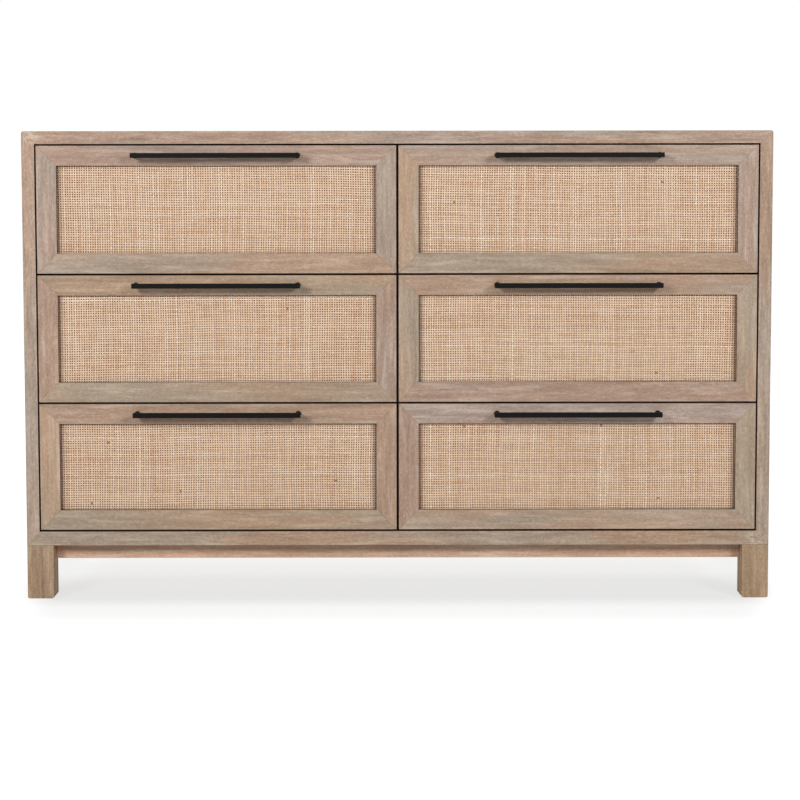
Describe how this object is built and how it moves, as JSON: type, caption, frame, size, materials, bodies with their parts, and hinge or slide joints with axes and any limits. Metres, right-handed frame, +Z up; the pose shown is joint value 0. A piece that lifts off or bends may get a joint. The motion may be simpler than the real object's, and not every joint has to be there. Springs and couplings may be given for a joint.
{
  "type": "dresser with drawers",
  "caption": "Wide wooden dresser with a mitred case, framed woven-cane drawer fronts with black bar pulls, drawers on telescopic slides, and square legs joined by set-back aprons.",
  "frame": {"origin": "on the floor, under the middle of the overall box, pulls included", "axes": "+Z up, +X to the right as seen from the front, the drawer fronts face -Y"},
  "size_m": [1.524, 0.54, 0.96],
  "materials": {
    "case_wood": "washed greyish-brown hardwood, matte, with open pores",
    "drawer_front_wood": "washed greyish-brown hardwood, matte, with open pores",
    "cane": "natural rattan cane in an open square weave, satin skin",
    "backing_board": "brown-stained board, matte",
    "drawer_box_wood": "pale sealed hardwood and plywood, satin",
    "plywood": "sealed plywood, matte",
    "base_blocks": "plain hardwood blocks with zinc-plated bolts",
    "black_metal": "matte black powder coat",
    "zinc_steel": "bright zinc-plated steel",
    "nylon": "off-white nylon, matte"
  },
  "bodies": {
    "root": {"top_panel": "case_wood", "left_side_panel": "case_wood", "right_side_panel": "case_wood", "bottom_panel": "case_wood", "centre_partition": "case_wood", "back_panel": "plywood", "back_screws": "zinc_steel", "case_slides": "zinc_steel", "front_left_leg": "case_wood", "front_right_leg": "case_wood", "rear_left_leg": "case_wood", "rear_right_leg": "case_wood", "front_apron": "case_wood", "rear_apron": "case_wood", "left_apron": "case_wood", "right_apron": "case_wood", "corner_braces": "base_blocks", "foot_glides": "nylon"},
    "upper_left_drawer": {"front_frame_upper_left": "drawer_front_wood", "cane_panel_upper_left": "cane", "backing_panel_upper_left": "backing_board", "drawer_box_upper_left": "drawer_box_wood", "pull_handle_upper_left": "black_metal", "drawer_slides_upper_left": "zinc_steel"},
    "upper_left_slide_members": {"middle_slides_upper_left": "zinc_steel"},
    "upper_right_drawer": {"front_frame_upper_right": "drawer_front_wood", "cane_panel_upper_right": "cane", "backing_panel_upper_right": "backing_board", "drawer_box_upper_right": "drawer_box_wood", "pull_handle_upper_right": "black_metal", "drawer_slides_upper_right": "zinc_steel"},
    "upper_right_slide_members": {"middle_slides_upper_right": "zinc_steel"},
    "middle_left_drawer": {"front_frame_middle_left": "drawer_front_wood", "cane_panel_middle_left": "cane", "backing_panel_middle_left": "backing_board", "drawer_box_middle_left": "drawer_box_wood", "pull_handle_middle_left": "black_metal", "drawer_slides_middle_left": "zinc_steel"},
    "middle_left_slide_members": {"middle_slides_middle_left": "zinc_steel"},
    "middle_right_drawer": {"front_frame_middle_right": "drawer_front_wood", "cane_panel_middle_right": "cane", "backing_panel_middle_right": "backing_board", "drawer_box_middle_right": "drawer_box_wood", "pull_handle_middle_right": "black_metal", "drawer_slides_middle_right": "zinc_steel"},
    "middle_right_slide_members": {"middle_slides_middle_right": "zinc_steel"},
    "lower_left_drawer": {"front_frame_lower_left": "drawer_front_wood", "cane_panel_lower_left": "cane", "backing_panel_lower_left": "backing_board", "drawer_box_lower_left": "drawer_box_wood", "pull_handle_lower_left": "black_metal", "drawer_slides_lower_left": "zinc_steel"},
    "lower_left_slide_members": {"middle_slides_lower_left": "zinc_steel"},
    "lower_right_drawer": {"front_frame_lower_right": "drawer_front_wood", "cane_panel_lower_right": "cane", "backing_panel_lower_right": "backing_board", "drawer_box_lower_right": "drawer_box_wood", "pull_handle_lower_right": "black_metal", "drawer_slides_lower_right": "zinc_steel"},
    "lower_right_slide_members": {"middle_slides_lower_right": "zinc_steel"}
  },
  "joints": [
    {"name": "upper_left_drawer_travel", "type": "slide", "parent": "root", "child": "upper_left_drawer", "axis": [0, -1, 0], "range_m": [0, 0.43]},
    {"name": "upper_left_slide_travel", "type": "slide", "parent": "root", "child": "upper_left_slide_members", "axis": [0, -1, 0], "range_m": [0, 0.215]},
    {"name": "upper_right_drawer_travel", "type": "slide", "parent": "root", "child": "upper_right_drawer", "axis": [0, -1, 0], "range_m": [0, 0.43]},
    {"name": "upper_right_slide_travel", "type": "slide", "parent": "root", "child": "upper_right_slide_members", "axis": [0, -1, 0], "range_m": [0, 0.215]},
    {"name": "middle_left_drawer_travel", "type": "slide", "parent": "root", "child": "middle_left_drawer", "axis": [0, -1, 0], "range_m": [0, 0.43]},
    {"name": "middle_left_slide_travel", "type": "slide", "parent": "root", "child": "middle_left_slide_members", "axis": [0, -1, 0], "range_m": [0, 0.215]},
    {"name": "middle_right_drawer_travel", "type": "slide", "parent": "root", "child": "middle_right_drawer", "axis": [0, -1, 0], "range_m": [0, 0.43]},
    {"name": "middle_right_slide_travel", "type": "slide", "parent": "root", "child": "middle_right_slide_members", "axis": [0, -1, 0], "range_m": [0, 0.215]},
    {"name": "lower_left_drawer_travel", "type": "slide", "parent": "root", "child": "lower_left_drawer", "axis": [0, -1, 0], "range_m": [0, 0.43]},
    {"name": "lower_left_slide_travel", "type": "slide", "parent": "root", "child": "lower_left_slide_members", "axis": [0, -1, 0], "range_m": [0, 0.215]},
    {"name": "lower_right_drawer_travel", "type": "slide", "parent": "root", "child": "lower_right_drawer", "axis": [0, -1, 0], "range_m": [0, 0.43]},
    {"name": "lower_right_slide_travel", "type": "slide", "parent": "root", "child": "lower_right_slide_members", "axis": [0, -1, 0], "range_m": [0, 0.215]}
  ],
  "couplings": [
    {"joint": "upper_left_slide_travel", "follows": "upper_left_drawer_travel", "ratio": 0.5},
    {"joint": "upper_right_slide_travel", "follows": "upper_right_drawer_travel", "ratio": 0.5},
    {"joint": "middle_left_slide_travel", "follows": "middle_left_drawer_travel", "ratio": 0.5},
    {"joint": "middle_right_slide_travel", "follows": "middle_right_drawer_travel", "ratio": 0.5},
    {"joint": "lower_left_slide_travel", "follows": "lower_left_drawer_travel", "ratio": 0.5},
    {"joint": "lower_right_slide_travel", "follows": "lower_right_drawer_travel", "ratio": 0.5}
  ]
}
